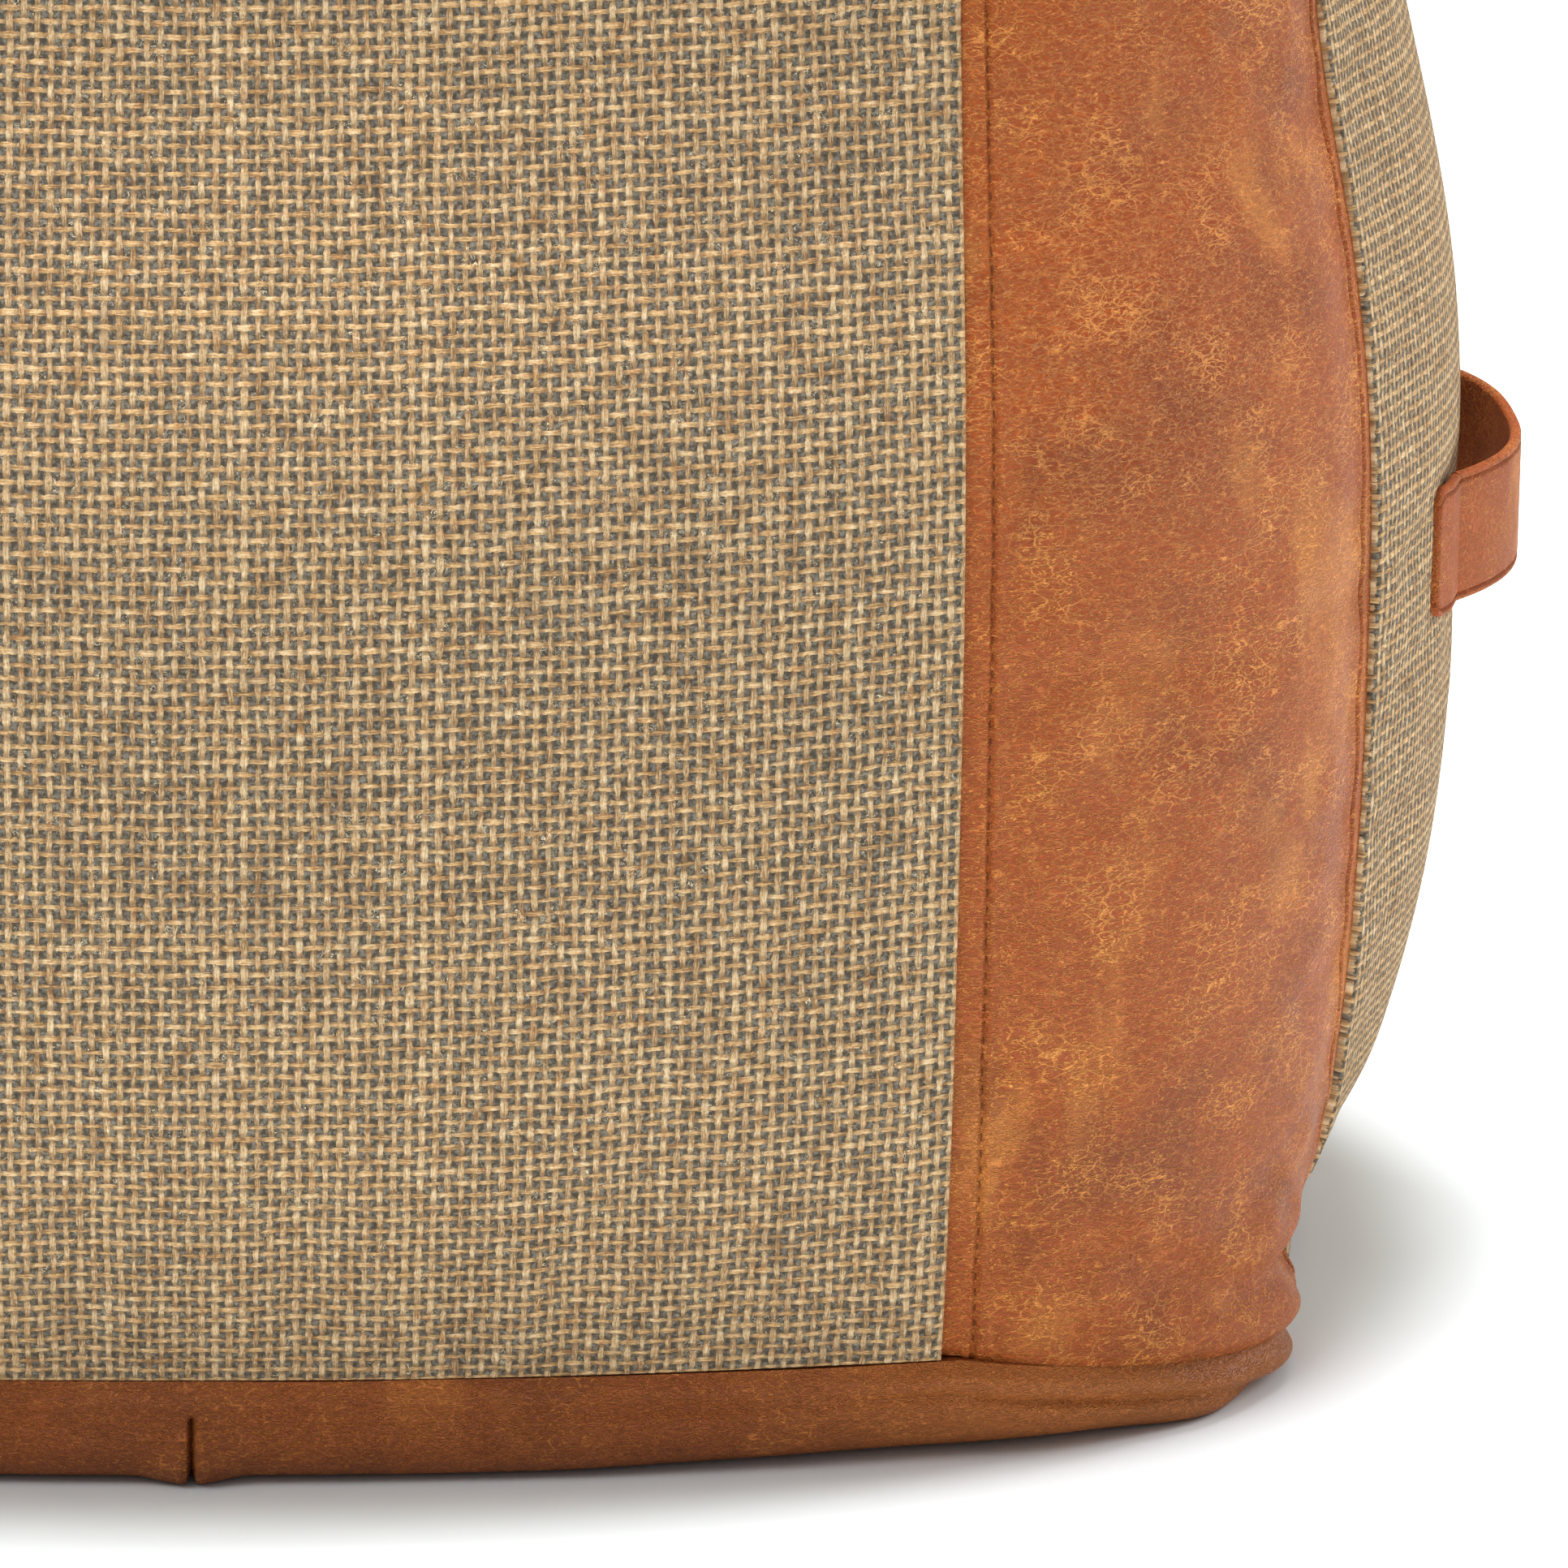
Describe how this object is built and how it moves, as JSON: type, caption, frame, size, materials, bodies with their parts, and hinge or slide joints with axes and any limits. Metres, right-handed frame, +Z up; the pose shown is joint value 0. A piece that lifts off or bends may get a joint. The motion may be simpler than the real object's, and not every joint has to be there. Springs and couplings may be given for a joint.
{
  "type": "fabric storage bin",
  "caption": "Open padded rectangular storage bin in coarse hessian and leather, with bellied walls, side strap handles and a lift-out padded base.",
  "frame": {"origin": "on the floor under the middle of the bin", "axes": "+X along the long side towards the right handle, -Y is the front, +Z up"},
  "size_m": [0.509, 0.3688, 0.33],
  "materials": {
    "hessian": "coarse plain-weave jute hessian, golden tan with grey-brown gaps",
    "leather": "cognac pull-up leather, mottled, soft sheen",
    "cotton": "plain cotton canvas, matt",
    "wadding": "fibre wadding, matt",
    "greyboard": "uncoated greyboard",
    "webbing": "brown woven tape"
  },
  "bodies": {
    "bin": {"back_hessian_panel": "hessian", "back_left_corner_wadding": "wadding", "back_left_leather_corner": "leather", "back_lining": "cotton", "back_right_corner_wadding": "wadding", "back_right_leather_corner": "leather", "back_wadding": "wadding", "back_wall_board": "greyboard", "base_board": "greyboard", "base_wadding": "wadding", "front_hessian_panel": "hessian", "front_left_corner_wadding": "wadding", "front_left_leather_corner": "leather", "front_lining": "cotton", "front_right_corner_wadding": "wadding", "front_right_leather_corner": "leather", "front_wadding": "wadding", "front_wall_board": "greyboard", "left_base_band": "leather", "left_handle_back_tab": "leather", "left_handle_backing": "cotton", "left_handle_front_tab": "leather", "left_hessian_panel": "hessian", "left_lining": "cotton", "left_rim_binding": "leather", "left_wadding": "wadding", "left_wall_board": "greyboard", "lining_floor": "cotton", "right_base_band": "leather", "right_handle_back_tab": "leather", "right_handle_backing": "cotton", "right_handle_front_tab": "leather", "right_hessian_panel": "hessian", "right_lining": "cotton", "right_rim_binding": "leather", "right_wadding": "wadding", "right_wall_board": "greyboard", "underside_panel": "leather"},
    "right_handle": {"right_handle_strap": "leather"},
    "left_handle": {"left_handle_strap": "leather"},
    "base_insert": {"insert_board": "greyboard", "insert_cover": "cotton", "insert_pad": "wadding", "insert_pull_tab": "webbing"}
  },
  "joints": [
    {"name": "right_handle_lift", "type": "hinge", "parent": "bin", "child": "right_handle", "pos_m": [0.2388, 0, 0.1595], "axis": [0, -1, 0], "range_deg": [0, 50]},
    {"name": "left_handle_lift", "type": "hinge", "parent": "bin", "child": "left_handle", "pos_m": [-0.2388, 0, 0.1595], "axis": [0, 1, 0], "range_deg": [0, 50]},
    {"name": "base_insert_lift", "type": "slide", "parent": "bin", "child": "base_insert", "axis": [0, 0, 1], "range_m": [0, 0.34]}
  ]
}
